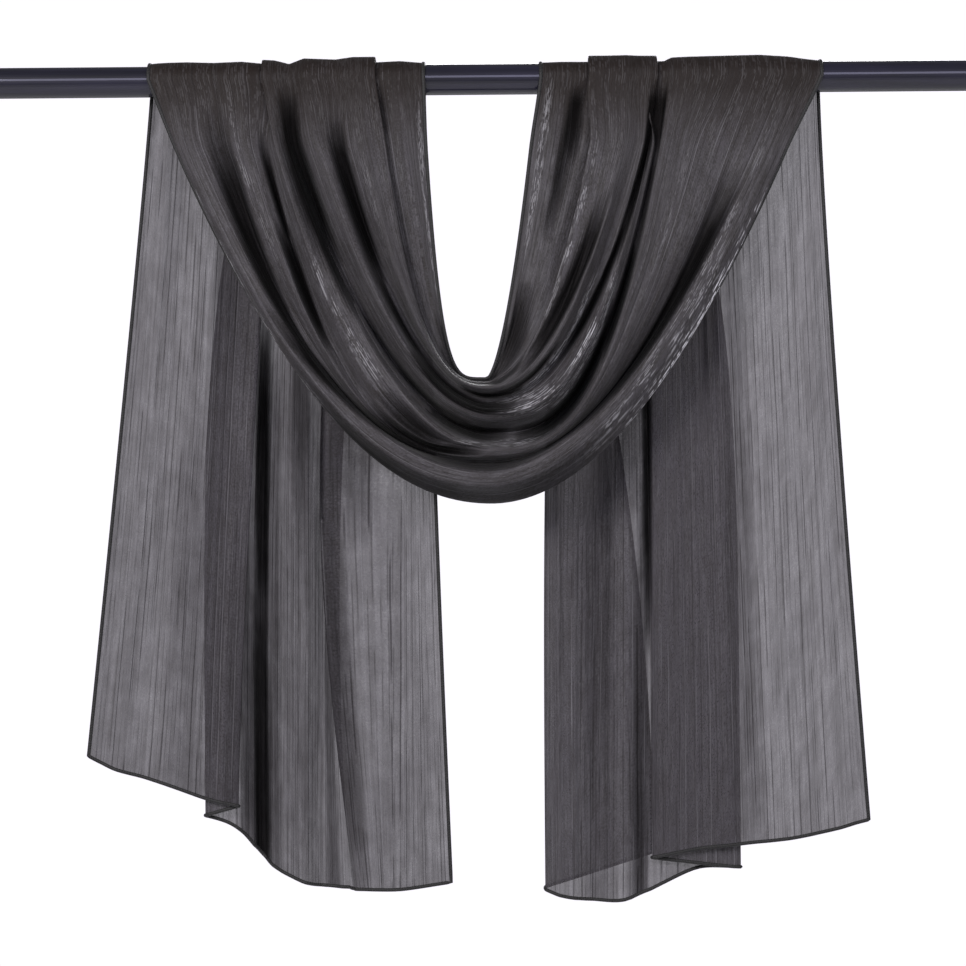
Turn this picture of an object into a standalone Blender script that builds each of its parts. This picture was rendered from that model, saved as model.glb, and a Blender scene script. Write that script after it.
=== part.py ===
# Organza scarf draped over a round rail: its middle hangs in a swag in front of the rail, and both
# ends go over the rail and hang behind it as two tails.
# The frame: X along the rail, Y away from the viewer, Z up, with the origin on the rail's axis at
# its middle. The tables are in millimetres, and metres() turns them.

import bmesh
import bpy
import numpy as np

# Rail
RAIL_RADIUS = 12.5
RAIL_LENGTH = 1000.0
RAIL_SIDES = 48

# Cloth
WALL = 1.0
CLEARANCE = 0.3
SEAM_GAP = 0.5
LAYER_PITCH = 1.4  # from one layer of the bunched cloth to the next, on the rail
TUCK_DROP = 60.0  # a fold that is tucked under on the rail has come out this far below it
DEPTH_PACE = 10.0  # how soon below the rail a tail reaches its depth
RAIL_ROUNDING = 0.6  # how softly a fold turns, at the rail, in the swag and in the tails
SWAG_ROUNDING = 3.2
TAIL_ROUNDING = 2.2
SOFTENING = 0.3  # the turns open from the rail's rounding over this share of a piece's length
SAMPLE_STEP = 0.4
TURN_SPACING = 1.2  # least spacing of two folds in a section, as a share of its rounding

# Mesh
WRAP_STEPS = 5
SWAG_STEPS = 30
TAIL_STEPS = 12
COLUMNS_PER_STRIP = 2
LOW_CROWDING = 1.25  # the swag's sections lie closer where it is lowest
TOP_CROWDING = 1.3  # and a tail's near its top

# How the bunched cloth lies on the rail, from the outer hem to the inner hem. x is along the rail.
# layer is the height in the bunch where the cloth comes to the fold and where it leaves it, in
# layers above the rail.
ON_RAIL = (
    # fold            left x, layer in, out   right x, layer in, out
    ("outer_hem",     -270, 0.0, 0.0,   279, 0.0, 0.0),
    ("roll_under",    -264, 0.3, 0.3,   274, 0.3, 0.3),
    ("roll_front",    -255, 0.8, 0.8,   266, 1.0, 1.0),
    ("roll_lip",      -240, 1.8, 1.8,   253, 2.4, 2.4),
    ("outer_valley",  -218, 1.4, 1.4,   229, 3.6, 3.6),
    ("outer_crest",   -195, 2.0, 2.0,   200, 3.2, 3.2),
    ("outer_tuck",    -167, 0.0, 1.0,   183, 3.0, 3.0),
    ("outer_turn",    -178, 2.0, 3.0,   170, 2.8, 2.8),
    ("middle_lip",    -168, 2.6, 2.6,   157, 2.4, 2.4),
    ("middle_slope",  -161, 1.4, 1.4,   151, 0.3, 0.3),
    ("middle_tuck",   -156, 0.4, 0.4,   128, 0.0, 1.3),
    ("narrow_pleat",  -144, 3.6, 3.6,   145, 2.2, 3.5),
    ("inner_valley",  -118, 2.8, 2.8,   130, 3.6, 3.6),
    ("inner_crest",   -104, 4.2, 4.2,   120, 4.0, 4.0),
    ("soft_valley",    -96, 4.2, 4.2,   104, 3.8, 3.8),
    ("inner_turn",     -85, 4.2, 2.9,    89, 3.8, 2.5),
    ("inner_tuck",    -109, 1.7, 0.3,   101, 1.5, 0.2),
    ("inner_panel",    -65, 1.6, 1.6,    67, 0.4, 0.4),
    ("inner_hem",      -43, 0.4, 0.4,    50, 0.0, 0.0),
)

# The swag's folds. x left and x right are where a fold's line meets the rail, and its square says
# how upright it hangs there before it sweeps across: 1 is a straight V, 2 a parabola, 4 a U. low is
# its lowest point, and each y is its depth halfway down on the left, at the low point and halfway
# up on the right.
IN_SWAG = (
    # fold            x left, square   low x, z    x right, square   y left, low, right
    ("outer_hem",     -271, 2.20,    14, -337,   275, 1.95,   -16, -12, -16),
    ("roll_under",    -269, 2.19,    14, -347,   273, 1.96,   -27, -31, -27),
    ("roll_front",    -264, 2.15,     4, -334,   266, 1.90,   -39, -53, -39),
    ("roll_lip",      -253, 2.10,     6, -321,   254, 1.82,   -40, -57, -40),
    ("outer_valley",  -226, 2.57,     7, -313,   229, 2.08,   -22, -25, -22),
    ("outer_crest",   -203, 2.80,     9, -310,   190, 2.40,   -36, -48, -36),
    ("outer_tuck",    -185, 3.06,     9, -309,   178, 2.60,   -20, -49, -38),
    ("outer_turn",    -181, 2.65,    10, -307,   168, 2.75,   -35, -51, -40),
    ("middle_lip",    -174, 2.05,    11, -304,   156, 2.88,   -38, -54, -44),
    ("middle_slope",  -171, 2.06,    10, -297,   157, 2.85,   -22, -30, -30),
    ("middle_tuck",   -169, 2.07,    10, -290,   153, 2.85,   -10, -13, -19),
    ("narrow_pleat",  -149, 2.05,    10, -275,   149, 2.62,   -37, -50, -30),
    ("inner_valley",  -128, 2.02,     6, -260,   142, 2.28,   -14, -13, -16),
    ("inner_crest",   -107, 2.30,     4, -255,   130, 2.15,   -36, -44, -36),
    ("soft_valley",    -98, 2.40,     3, -252,   115, 2.30,   -32, -40, -30),
    ("inner_turn",     -84, 2.73,     2, -249,   100, 2.05,   -29, -35, -28),
    ("inner_tuck",    -104, 2.70,     2, -247,   107, 2.10,   -15, -25, -15),
    ("inner_panel",    -64, 3.20,     3, -246,    69, 1.80,   -18, -20, -18),
    ("inner_hem",      -45, 3.90,     3, -244,    48, 1.56,   -14, -14, -13),
)

# The tails' folds at the hem. pace says where the fold moves sideways on its way down: 1 is evenly,
# over 1 near the rail and under 1 near the hem. bow is how far it strays sideways halfway. Each y
# is the depth where the cloth comes to the fold and where it leaves it.
LEFT_TAIL = (
    # fold             x,    z,  pace, bow, y in, out
    ("outer_hem",     -328, -554, 0.95,   0,  18, 18),
    ("roll_under",    -317, -561, 0.95,   0,  20, 20),
    ("roll_front",    -305, -566, 0.90,   0,  16, 16),
    ("roll_lip",      -285, -571, 0.90,   0,  20, 20),
    ("outer_valley",  -260, -579, 1.00,   0,  16, 16),
    ("outer_crest",   -227, -592, 1.20,   0,  18, 18),
    ("outer_tuck",    -204, -596, 1.30,   0,  15, 20),
    ("outer_turn",    -233, -605, 4.00,   0,  25, 30),
    ("middle_lip",    -206, -613, 3.00,   0,  33, 33),
    ("middle_slope",  -194, -629, 3.00,   0,  38, 38),
    ("middle_tuck",   -186, -646, 3.00,   0,  42, 42),
    ("narrow_pleat",  -149, -662, 1.00,   0,  22, 22),
    ("inner_valley",  -136, -665, 2.00,   0,  34, 34),
    ("inner_crest",   -126, -665, 2.00,  -4,  31, 31),
    ("soft_valley",   -120, -666, 2.00,  -8,  30, 30),
    ("inner_turn",    -113, -666, 1.50, -14,  31, 27),
    ("inner_tuck",    -109, -666, 2.00, -27,  22, 18),
    ("inner_panel",    -72, -667, 1.00,   0,  17, 17),
    ("inner_hem",      -29, -661, 0.70,   0,  21, 21),
)
RIGHT_TAIL = (
    # fold             x,    z,  pace, bow, y in, out
    ("outer_hem",      317, -612, 0.85,   0,  20, 20),
    ("roll_under",     307, -615, 0.85,   0,  22, 22),
    ("roll_front",     294, -618, 0.85,   0,  18, 18),
    ("roll_lip",       276, -623, 0.90,   0,  21, 21),
    ("outer_valley",   251, -627, 1.00,   0,  17, 17),
    ("outer_crest",    222, -630, 1.20,   0,  19, 19),
    ("outer_tuck",     200, -632, 1.50,   0,  17, 17),
    ("outer_turn",     178, -634, 2.00,   0,  18, 18),
    ("middle_lip",     160, -637, 2.50,   0,  16, 16),
    ("middle_slope",   148, -639, 3.00,   0,  15, 15),
    ("middle_tuck",    137, -642, 4.00,   0,  16, 21),
    ("narrow_pleat",   212, -652, 5.00,   0,  27, 32),
    ("inner_valley",   177, -650, 4.00,   0,  33, 33),
    ("inner_crest",    115, -679, 1.00,   0,  24, 24),
    ("soft_valley",     91, -679, 1.00,   0,  35, 35),
    ("inner_turn",      76, -677, 2.00,   0,  32, 29),
    ("inner_tuck",      62, -675, 4.00,   0,  26, 24),
    ("inner_panel",     49, -668, 3.00,   0,  30, 37),
    ("inner_hem",      139, -641, 2.00,   0,  46, 46),
)

# The folds where the cloth turns back over itself have two points in every section, one for each
# layer.
TURNS = ("outer_tuck", "outer_turn", "middle_tuck", "narrow_pleat", "inner_turn", "inner_tuck",
         "inner_panel")


def metres(length):
    return length / 1000


def progress(t, pace):
    """How much of its sideways way a fold has gone at the share t of its length."""
    return 1 - (1 - t) ** pace if pace >= 1 else t ** (1 / pace)


def fade(t):
    """Falls softly from 1 to 0 as t goes from 0 to 1, and stays there."""
    t = np.clip(t, 0, 1)
    return 1 - t * t * (3 - 2 * t)


def radius(layer):
    """The radius, round the rail's axis, of the middle of a layer's wall."""
    return RAIL_RADIUS + CLEARANCE + WALL / 2 + LAYER_PITCH * layer


def through(knots, values, t):
    """A smooth curve through the values at the knots, level at both ends."""
    slopes = np.zeros(len(knots))
    slopes[1:-1] = [(values[i + 1] - values[i - 1]) / (knots[i + 1] - knots[i - 1])
                    for i in range(1, len(knots) - 1)]
    i = np.clip(np.searchsorted(knots, t, side="right") - 1, 0, len(knots) - 2)
    knots, values = np.asarray(knots), np.asarray(values, float)
    width = knots[i + 1] - knots[i]
    u = (t - knots[i]) / width
    return (
        (1 + 2 * u) * (1 - u) ** 2 * values[i] + u * (1 - u) ** 2 * width * slopes[i]
        + u * u * (3 - 2 * u) * values[i + 1] + u * u * (u - 1) * width * slopes[i + 1]
    )


def wrap(x, layer, side, angles):
    """Points of a fold on the rail, at the angles from its top. side is -1 to the front, 1 behind."""
    r = radius(layer)
    return np.stack([np.full(len(angles), float(x)), side * r * np.sin(angles),
                     r * np.cos(angles)], axis=1)


def swag_line(rail, swag, leaves, angles, shares):
    """One fold of the swag, from the rail's top on the left round to its top on the right."""
    _, left_x, left_in, left_out, right_x, right_in, right_out = rail
    _, x_left, square_left, low_x, low_z, x_right, square_right, y_left, y_low, y_right = swag
    left_layer, right_layer = (left_out, right_out) if leaves else (left_in, right_in)
    u = np.linspace(-1, 1, 801)
    left = u < 0
    x = low_x + np.abs(u) * (np.where(left, x_left, x_right) - low_x)
    z = low_z * (1 - np.abs(u) ** np.where(left, square_left, square_right))
    x += np.where(left, left_x - x_left, right_x - x_right) * fade(-z / TUCK_DROP)
    way = np.concatenate([[0], np.cumsum(np.hypot(np.diff(x), np.diff(z)))])
    way /= way[-1]
    # A fold keeps its two layers apart by as much as they are on the rail.
    half = LAYER_PITCH / 2 * (1 if leaves else -1)
    left_apart, right_apart = half * (left_out - left_in), half * (right_out - right_in)
    y = through((0, 0.25, 0.5, 0.75, 1),
                (-radius(left_layer), y_left - left_apart, y_low - (left_apart + right_apart) / 2,
                 y_right - right_apart, -radius(right_layer)), shares)
    hang = np.stack([np.interp(shares, way, x), y, np.interp(shares, way, z)], axis=1)
    return np.concatenate([wrap(left_x, left_layer, -1, angles), hang,
                           wrap(right_x, right_layer, -1, angles[::-1])])


def tail_line(rail, tail, leaves, side, angles, shares):
    """One fold of a tail, from the rail's top down behind it to the hem."""
    rail_x, layer_in, layer_out = rail[1:4] if side < 0 else rail[4:7]
    _, x, z, pace, bow, y_in, y_out = tail
    layer, y = (layer_out, y_out) if leaves else (layer_in, y_in)
    hang = np.stack([
        rail_x + (x - rail_x) * progress(shares, pace) + bow * np.sin(np.pi * shares),
        radius(layer) + (y - radius(layer)) * progress(shares, DEPTH_PACE),
        z * shares,
    ], axis=1)
    return np.concatenate([wrap(rail_x, layer, 1, angles), hang])


def fold_points(rows, line):
    """The fold lines that a section runs through, in order: two for each fold that turns back."""
    lines = []
    for row in rows:
        name = row[0][0]
        for leaves in ((False, True) if name in TURNS else (False,)):
            lines.append(line(row, leaves))
    return np.stack(lines, axis=1)


def rounded(points, softness, per_strip):
    """The section through the fold points, with its turns rounded, at even places on each strip
    between two folds."""
    lengths = np.linalg.norm(np.diff(points, axis=0), axis=1)
    at = np.concatenate([[0], np.cumsum(lengths)])
    total = at[-1]
    steps = TURN_SPACING * softness * np.arange(len(at))
    spread = np.maximum.accumulate(at - steps) + steps
    spread *= total / spread[-1]
    wanted = np.interp(np.arange((len(at) - 1) * per_strip + 1) / per_strip,
                       np.arange(len(at)), spread)
    reach = 3 * softness
    fine = np.arange(-reach, total + reach + SAMPLE_STEP, SAMPLE_STEP)
    inside = np.stack([np.interp(np.clip(fine, 0, total), at, points[:, i]) for i in range(3)], 1)
    before = np.stack([np.interp(-fine, at, points[:, i]) for i in range(3)], 1)
    after = np.stack([np.interp(2 * total - fine, at, points[:, i]) for i in range(3)], 1)
    fine_points = np.where((fine < 0)[:, None], 2 * points[0] - before,
                           np.where((fine > total)[:, None], 2 * points[-1] - after, inside))
    weight = np.exp(-0.5 * ((fine[None, :] - wanted[:, None]) / softness) ** 2)
    return weight @ fine_points / weight.sum(axis=1, keepdims=True)


def cloth_material(name, colour):
    material = bpy.data.materials.new(name)
    material.use_nodes = True
    shader = material.node_tree.nodes["Principled BSDF"]
    shader.inputs["Base Color"].default_value = (*colour, 1)
    shader.inputs["Roughness"].default_value = 0.55
    shader.inputs["Metallic"].default_value = 0.0
    material.diffuse_color = (*colour, 1)
    return material


def add_cloth(name, lines, softness, colour):
    """A closed wall of cloth through the sections. lines: [section, fold point, xyz]."""
    grid = np.stack([rounded(section, soft, COLUMNS_PER_STRIP)
                     for section, soft in zip(lines, softness)])
    rows, columns = grid.shape[:2]
    bm = bmesh.new()
    bmesh.ops.create_grid(bm, x_segments=columns - 1, y_segments=rows - 1, size=1)
    bm.verts.ensure_lookup_table()
    for vertex in bm.verts:
        column = round((vertex.co.x + 1) / 2 * (columns - 1))
        row = round((vertex.co.y + 1) / 2 * (rows - 1))
        vertex.co = metres(grid[row, column])
    mesh = bpy.data.meshes.new(name)
    bm.to_mesh(mesh)
    bm.free()
    mesh.materials.append(cloth_material(name, colour))
    mesh.shade_smooth()
    piece = bpy.data.objects.new(name, mesh)
    bpy.context.scene.collection.objects.link(piece)
    wall = piece.modifiers.new("Wall", "SOLIDIFY")
    wall.thickness = metres(WALL)
    wall.offset = 0
    return piece


def add_rail():
    bm = bmesh.new()
    bmesh.ops.create_cone(bm, cap_ends=True, segments=RAIL_SIDES, radius1=metres(RAIL_RADIUS),
                          radius2=metres(RAIL_RADIUS), depth=metres(RAIL_LENGTH))
    mesh = bpy.data.meshes.new("rail")
    bm.to_mesh(mesh)
    bm.free()
    material = bpy.data.materials.new("rail_paint")
    material.use_nodes = True
    shader = material.node_tree.nodes["Principled BSDF"]
    shader.inputs["Base Color"].default_value = (0.02, 0.02, 0.035, 1)
    shader.inputs["Roughness"].default_value = 0.3
    material.diffuse_color = (0.05, 0.05, 0.09, 1)
    mesh.materials.append(material)
    mesh.shade_smooth()
    mesh.set_sharp_from_angle(angle=np.radians(40))
    rail = bpy.data.objects.new("rail", mesh)
    rail.rotation_euler = (0, np.pi / 2, 0)
    bpy.context.scene.collection.objects.link(rail)


def add_swag():
    first = SEAM_GAP / 2 / radius(0)
    angles = np.linspace(first, np.pi / 2, WRAP_STEPS, endpoint=False)
    even = np.linspace(-1, 1, SWAG_STEPS + 1)
    shares = 0.5 + 0.5 * np.sign(even) * np.abs(even) ** LOW_CROWDING
    lines = fold_points(list(zip(ON_RAIL, IN_SWAG)),
                        lambda row, leaves: swag_line(*row, leaves, angles, shares))
    hanging = RAIL_ROUNDING + (SWAG_ROUNDING - RAIL_ROUNDING) * (
        fade(1 - shares / SOFTENING) * fade(1 - (1 - shares) / SOFTENING))
    on_rail = [RAIL_ROUNDING] * len(angles)
    add_cloth("swag", lines, [*on_rail, *hanging, *on_rail], (0.075, 0.07, 0.072))


def add_tail(name, tail, side):
    first = SEAM_GAP / 2 / radius(0)
    angles = np.linspace(first, np.pi / 2, WRAP_STEPS, endpoint=False)
    shares = np.linspace(0, 1, TAIL_STEPS + 1) ** TOP_CROWDING
    lines = fold_points(list(zip(ON_RAIL, tail)),
                        lambda row, leaves: tail_line(*row, leaves, side, angles, shares))
    hanging = RAIL_ROUNDING + (TAIL_ROUNDING - RAIL_ROUNDING) * fade(1 - shares / SOFTENING)
    add_cloth(name, lines, [*([RAIL_ROUNDING] * len(angles)), *hanging], (0.10, 0.094, 0.10))


for thing in list(bpy.data.objects):
    bpy.data.objects.remove(thing, do_unlink=True)

add_rail()
add_swag()
add_tail("left_tail", LEFT_TAIL, -1)
add_tail("right_tail", RIGHT_TAIL, 1)
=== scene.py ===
# Organza scarf draped over a round rail: a swag in front and two tails behind.
# The frame: X along the rail, Y away from the viewer, Z up, with the origin on the rail's axis at
# its middle. The fold tables are in millimetres.

import math

import bmesh
import bpy
import numpy as np
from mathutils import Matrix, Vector


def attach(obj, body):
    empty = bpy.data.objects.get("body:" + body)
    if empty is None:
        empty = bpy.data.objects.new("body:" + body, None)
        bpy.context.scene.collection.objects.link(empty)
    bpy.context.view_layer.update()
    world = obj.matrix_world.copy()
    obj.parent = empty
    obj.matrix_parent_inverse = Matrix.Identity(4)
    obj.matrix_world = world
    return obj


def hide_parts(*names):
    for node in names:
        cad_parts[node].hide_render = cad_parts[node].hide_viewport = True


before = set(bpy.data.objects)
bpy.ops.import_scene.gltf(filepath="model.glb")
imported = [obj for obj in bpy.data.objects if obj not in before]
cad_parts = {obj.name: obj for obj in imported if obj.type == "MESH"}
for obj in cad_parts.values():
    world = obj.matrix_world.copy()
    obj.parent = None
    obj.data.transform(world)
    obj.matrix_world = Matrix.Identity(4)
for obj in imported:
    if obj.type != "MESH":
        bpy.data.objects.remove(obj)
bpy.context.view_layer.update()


# ---------------------------------------------------------------- Camera, studio floor and lights
# A white studio: a pale floor well below the scarf, a bright even background that shows through the
# sheer cloth, a big soft light high in front on the left, a weaker one on the right, a long strip
# between them that draws the line along the rail, and a big soft light behind for the back.

CAMERA_DISTANCE = 2.2
CAMERA_HEIGHT = -0.33087
FLOOR_HEIGHT = -1.4


def linear(code):
    """The linear colour of an sRGB hex value."""
    parts = [int(code[i:i + 2], 16) / 255 for i in (0, 2, 4)]
    return tuple(c / 12.92 if c <= 0.04045 else ((c + 0.055) / 1.055) ** 2.4 for c in parts)


def add_node(tree, kind, settings=None, **inputs):
    """A node with its settings. An input is a value, another node's output to link, or a node for
    its first output."""
    node = tree.nodes.new(kind)
    for name, value in (settings or {}).items():
        setattr(node, name, value)
    for name, value in inputs.items():
        key = int(name[1:]) if name[0] == "i" and name[1:].isdigit() else name.replace("_", " ")
        socket = node.inputs[key]
        if isinstance(value, bpy.types.Node):
            value = value.outputs[0]
        if isinstance(value, bpy.types.NodeSocket):
            tree.links.new(value, socket)
        else:
            socket.default_value = value
    return node


def add_light(name, place, target, size, power, colour):
    light = bpy.data.lights.new(name, "AREA")
    light.shape = "RECTANGLE"
    light.size, light.size_y = size
    light.energy = power
    light.color = colour
    lamp = bpy.data.objects.new(name, light)
    lamp.location = place
    lamp.rotation_euler = (Vector(target) - Vector(place)).to_track_quat("-Z", "Y").to_euler()
    lamp.visible_camera = False
    bpy.context.scene.collection.objects.link(lamp)


camera = bpy.data.objects.new("camera", bpy.data.cameras.new("camera"))
camera.data.sensor_width = 36
camera.data.lens = 99.98
camera.location = (0, -CAMERA_DISTANCE, CAMERA_HEIGHT)
camera.rotation_euler = (math.pi / 2, math.radians(0.47), 0)
bpy.context.scene.collection.objects.link(camera)
bpy.context.scene.camera = camera
bpy.context.scene.view_settings.view_transform = "Standard"

add_light("key_softbox", (-1.45, -2.2, 0.75), (0, 0, -0.3), (1.3, 0.7), 55, linear("fffdfb"))
add_light("fill_softbox", (1.6, -2.2, 0.5), (0, 0, -0.35), (1.5, 0.6), 28, linear("fffefc"))
add_light("front_strip", (0, -2.3, 0.62), (0, 0, 0), (3.2, 0.30), 10, linear("dedcff"))
add_light("back_softbox", (0.7, 2.4, 0.6), (0, 0, -0.3), (2.4, 0.9), 55, linear("fdfdff"))

world = bpy.data.worlds.new("studio_white")
bpy.context.scene.world = world
world.use_nodes = True
tree = world.node_tree
tree.nodes.clear()
sight = add_node(tree, "ShaderNodeLightPath")
seen = add_node(tree, "ShaderNodeBackground", Color=(*linear("faf7ff"), 1), Strength=1.08)
lit = add_node(tree, "ShaderNodeBackground", Color=(*linear("eef0f4"), 1), Strength=0.16)
mixed = add_node(tree, "ShaderNodeMixShader", i0=sight.outputs["Is Camera Ray"],
                 i1=lit.outputs[0], i2=seen.outputs[0])
add_node(tree, "ShaderNodeOutputWorld", Surface=mixed.outputs[0])

bm = bmesh.new()
bmesh.ops.create_circle(bm, cap_ends=True, segments=96, radius=2.8)
bmesh.ops.translate(bm, verts=bm.verts, vec=(0, 0, FLOOR_HEIGHT))
mesh = bpy.data.meshes.new("studio_floor")
bm.to_mesh(mesh)
bm.free()
floor = bpy.data.objects.new("studio_floor", mesh)
bpy.context.scene.collection.objects.link(floor)
paint = bpy.data.materials.new("matt_white_floor_paint")
paint.use_nodes = True
paint.node_tree.nodes["Principled BSDF"].inputs["Base Color"].default_value = (*linear("dcdcde"), 1)
paint.node_tree.nodes["Principled BSDF"].inputs["Roughness"].default_value = 0.9
mesh.materials.append(paint)


# ---------------------------------------------------------------- Rail
# A plain round steel rail, 25 mm across, painted a glossy navy black. It carries the scarf, and the
# solid's own shape is right, so only its finish is added here.

# Stoved gloss paint on drawn tube: a smooth dark coat, a little uneven in tone along the drawing,
# that shows the softboxes as one thin line.
gloss = bpy.data.materials.new("stoved_gloss_paint")
gloss.use_nodes = True
tree = gloss.node_tree
coat = tree.nodes["Principled BSDF"]
place = add_node(tree, "ShaderNodeTexCoord")
drawn = add_node(tree, "ShaderNodeMapping", Vector=place.outputs["Object"],
                 Scale=(9.0, 160.0, 160.0))
grain = add_node(tree, "ShaderNodeTexNoise", Vector=drawn.outputs[0], Scale=1.0, Detail=3.0)
shade = add_node(tree, "ShaderNodeValToRGB", Fac=grain.outputs["Fac"])
shade.color_ramp.elements[0].position = 0.3
shade.color_ramp.elements[0].color = (*linear("12111d"), 1)
shade.color_ramp.elements[1].position = 0.7
shade.color_ramp.elements[1].color = (*linear("201e31"), 1)
tree.links.new(shade.outputs["Color"], coat.inputs["Base Color"])
peel = add_node(tree, "ShaderNodeBump", Height=grain.outputs["Fac"], Strength=0.05, Distance=0.0002)
tree.links.new(peel.outputs["Normal"], coat.inputs["Normal"])
coat.inputs["Roughness"].default_value = 0.5
coat.inputs["Specular IOR Level"].default_value = 0.2
coat.inputs["Coat Weight"].default_value = 1.0
coat.inputs["Coat Roughness"].default_value = 0.06
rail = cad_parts["rail"]
for slot in rail.material_slots:
    slot.material = gloss


# ---------------------------------------------------------------- Swag
# The middle of the scarf, hanging in front of the rail and over its front half. It is one length of
# crinkled organza, 0.50 m wide and about 2.1 m long, folded lengthwise into the creases that the
# tables place. Nothing fastens it: its own weight and its grip on the rail hold it.

RAIL_RADIUS = 12.5
CLEARANCE = 0.3
WALL = 1.0
LAYER_PITCH = 1.4  # from one layer of the bunched cloth to the next, on the rail
TUCK_DROP = 60.0  # a fold that is tucked under on the rail has come out this far below it
RAIL_ROUNDING = 0.6  # how softly a fold turns, at the rail and in the swag
SWAG_ROUNDING = 3.2
SOFTENING = 0.3  # the turns open from the rail's rounding over this share of a piece's length
TURN_SPACING = 1.2  # least spacing of two folds in a section, as a share of its rounding
COLUMNS_PER_STRIP = 12
WRAP_STEPS = 9
LINE_STEPS = 1600  # how finely a fold's line is drawn before it is stepped evenly
SWAG_STEPS = 150
SWAG_FREED = 0.12  # the creases are full this share of the swag's length away from the rail
SWAG_LAYERS = 2.3  # how many layers of organza the gathered swag has behind one another
TURN_CUT = 2.0  # how much cloth a sharp turn takes up
STROKE_SWELL = 0.7  # how slowly a stroke swells from its ends: 1 is a sine
STROKE_FLATNESS = 4  # how flat a stroke's top is across it: 2 is a bell
DEEPEST = 6.5  # a hollow this deep gets hardly any light
# The painted shade of a hollow fades out towards the rail and is full below it.
HOLLOW_START = 22.0  # a hollow opens under the rail, and is full this far below the rail's axis
SWAG_GATHER = 75.0  # the cloth lies gathered on the rail, and has spread this far below it

# How the bunched cloth lies on the rail, from the outer hem to the inner hem. cut is the fold's
# place across the flat cloth, and x is along the rail. layer is the height in the bunch where the
# cloth comes to the fold and where it leaves it, in layers above the rail.
ON_RAIL = (
    # fold             cut   left x, layer in, out   right x, layer in, out
    ("outer_hem",        0,  -270, 0.9, 0.9,    279, 0.0, 0.0),
    ("roll_under",      11,  -264, 1.4, 1.4,    274, 0.3, 0.3),
    ("roll_front",      24,  -255, 1.7, 1.7,    266, 1.0, 1.0),
    ("roll_lip",        44,  -240, 1.9, 1.9,    253, 2.4, 2.4),
    ("outer_valley",    70,  -218, 1.4, 1.4,    229, 3.6, 3.6),
    ("outer_crest",    102,  -195, 2.0, 2.0,    200, 3.2, 3.2),
    ("outer_tuck",     126,  -167, 0.0, 1.0,    183, 3.0, 3.0),
    ("outer_turn",     154,  -178, 2.0, 3.0,    170, 2.8, 2.8),
    ("middle_lip",     178,  -168, 2.6, 2.6,    157, 2.4, 2.4),
    ("middle_slope",   196,  -161, 1.4, 1.4,    151, 0.3, 0.3),
    ("middle_tuck",    212,  -156, 0.4, 0.4,    128, 0.0, 1.3),
    ("narrow_pleat",   274,  -144, 3.6, 3.6,    145, 2.2, 3.5),
    ("inner_valley",   310,  -118, 2.8, 2.8,    130, 3.6, 3.6),
    ("inner_crest",    354,  -104, 4.2, 4.2,    120, 4.0, 4.0),
    ("soft_valley",    374,  -96, 4.2, 4.2,    104, 3.8, 3.8),
    ("inner_turn",     389,  -85, 4.2, 2.9,     89, 3.8, 2.5),
    ("inner_tuck",     403,  -109, 1.7, 0.3,    101, 1.5, 0.2),
    ("inner_panel",    440,  -65, 1.6, 1.6,     67, 0.4, 0.4),
    ("inner_hem",      500,  -46, 0.4, 0.4,     50, 0.0, 0.0),
)

# The swag's folds. x left and x right are where a fold's line meets the rail, and its square says
# how upright it hangs there before it sweeps across: 1 is a straight V, 2 a parabola, 4 a U. low is
# its lowest point, and each y is its depth halfway down on the left, at the low point and halfway
# up on the right.
IN_SWAG = (
    # fold            x left, square   low x, z    x right, square   y left, low, right
    ("outer_hem",     -271, 2.12,     8, -339,   275, 1.95,   -16, -12, -16),
    ("roll_under",    -269, 2.11,     8, -349,   273, 1.95,   -27, -31, -27),
    ("roll_front",    -264, 2.15,     4, -334,   266, 1.90,   -39, -53, -39),
    ("roll_lip",      -253, 2.10,     6, -321,   254, 1.82,   -40, -57, -40),
    ("outer_valley",  -226, 2.57,     7, -313,   229, 2.08,   -22, -25, -22),
    ("outer_crest",   -203, 2.80,     9, -310,   190, 2.40,   -36, -48, -36),
    ("outer_tuck",    -185, 3.06,     9, -309,   178, 2.60,   -20, -49, -38),
    ("outer_turn",    -181, 2.65,    10, -307,   168, 2.75,   -35, -51, -40),
    ("middle_lip",    -174, 2.05,    11, -304,   156, 2.88,   -38, -54, -44),
    ("middle_slope",  -171, 2.06,    10, -297,   157, 2.85,   -22, -30, -30),
    ("middle_tuck",   -169, 2.07,    10, -290,   153, 2.85,   -10, -13, -19),
    ("narrow_pleat",  -149, 2.05,    10, -275,   149, 2.62,   -37, -50, -30),
    ("inner_valley",  -128, 2.02,     6, -260,   142, 2.28,   -14, -13, -16),
    ("inner_crest",   -107, 2.30,     4, -255,   130, 2.15,   -36, -44, -36),
    ("soft_valley",    -98, 2.40,     3, -252,   115, 2.30,   -32, -40, -30),
    ("inner_turn",     -84, 2.73,     2, -251,   100, 2.05,   -29, -35, -28),
    ("inner_tuck",    -104, 2.70,     2, -249,   107, 2.10,   -15, -25, -15),
    ("inner_panel",    -66, 3.20,     4, -248,    69, 1.80,   -18, -20, -18),
    ("inner_hem",      -47, 4.70,     4, -246,    48, 1.62,   -14, -14, -13),
)

# The folds where the cloth turns back over itself have two points in every section, one for each
# layer.
TURNS = ("outer_tuck", "outer_turn", "middle_tuck", "narrow_pleat", "inner_turn", "inner_tuck",
         "inner_panel")
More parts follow.
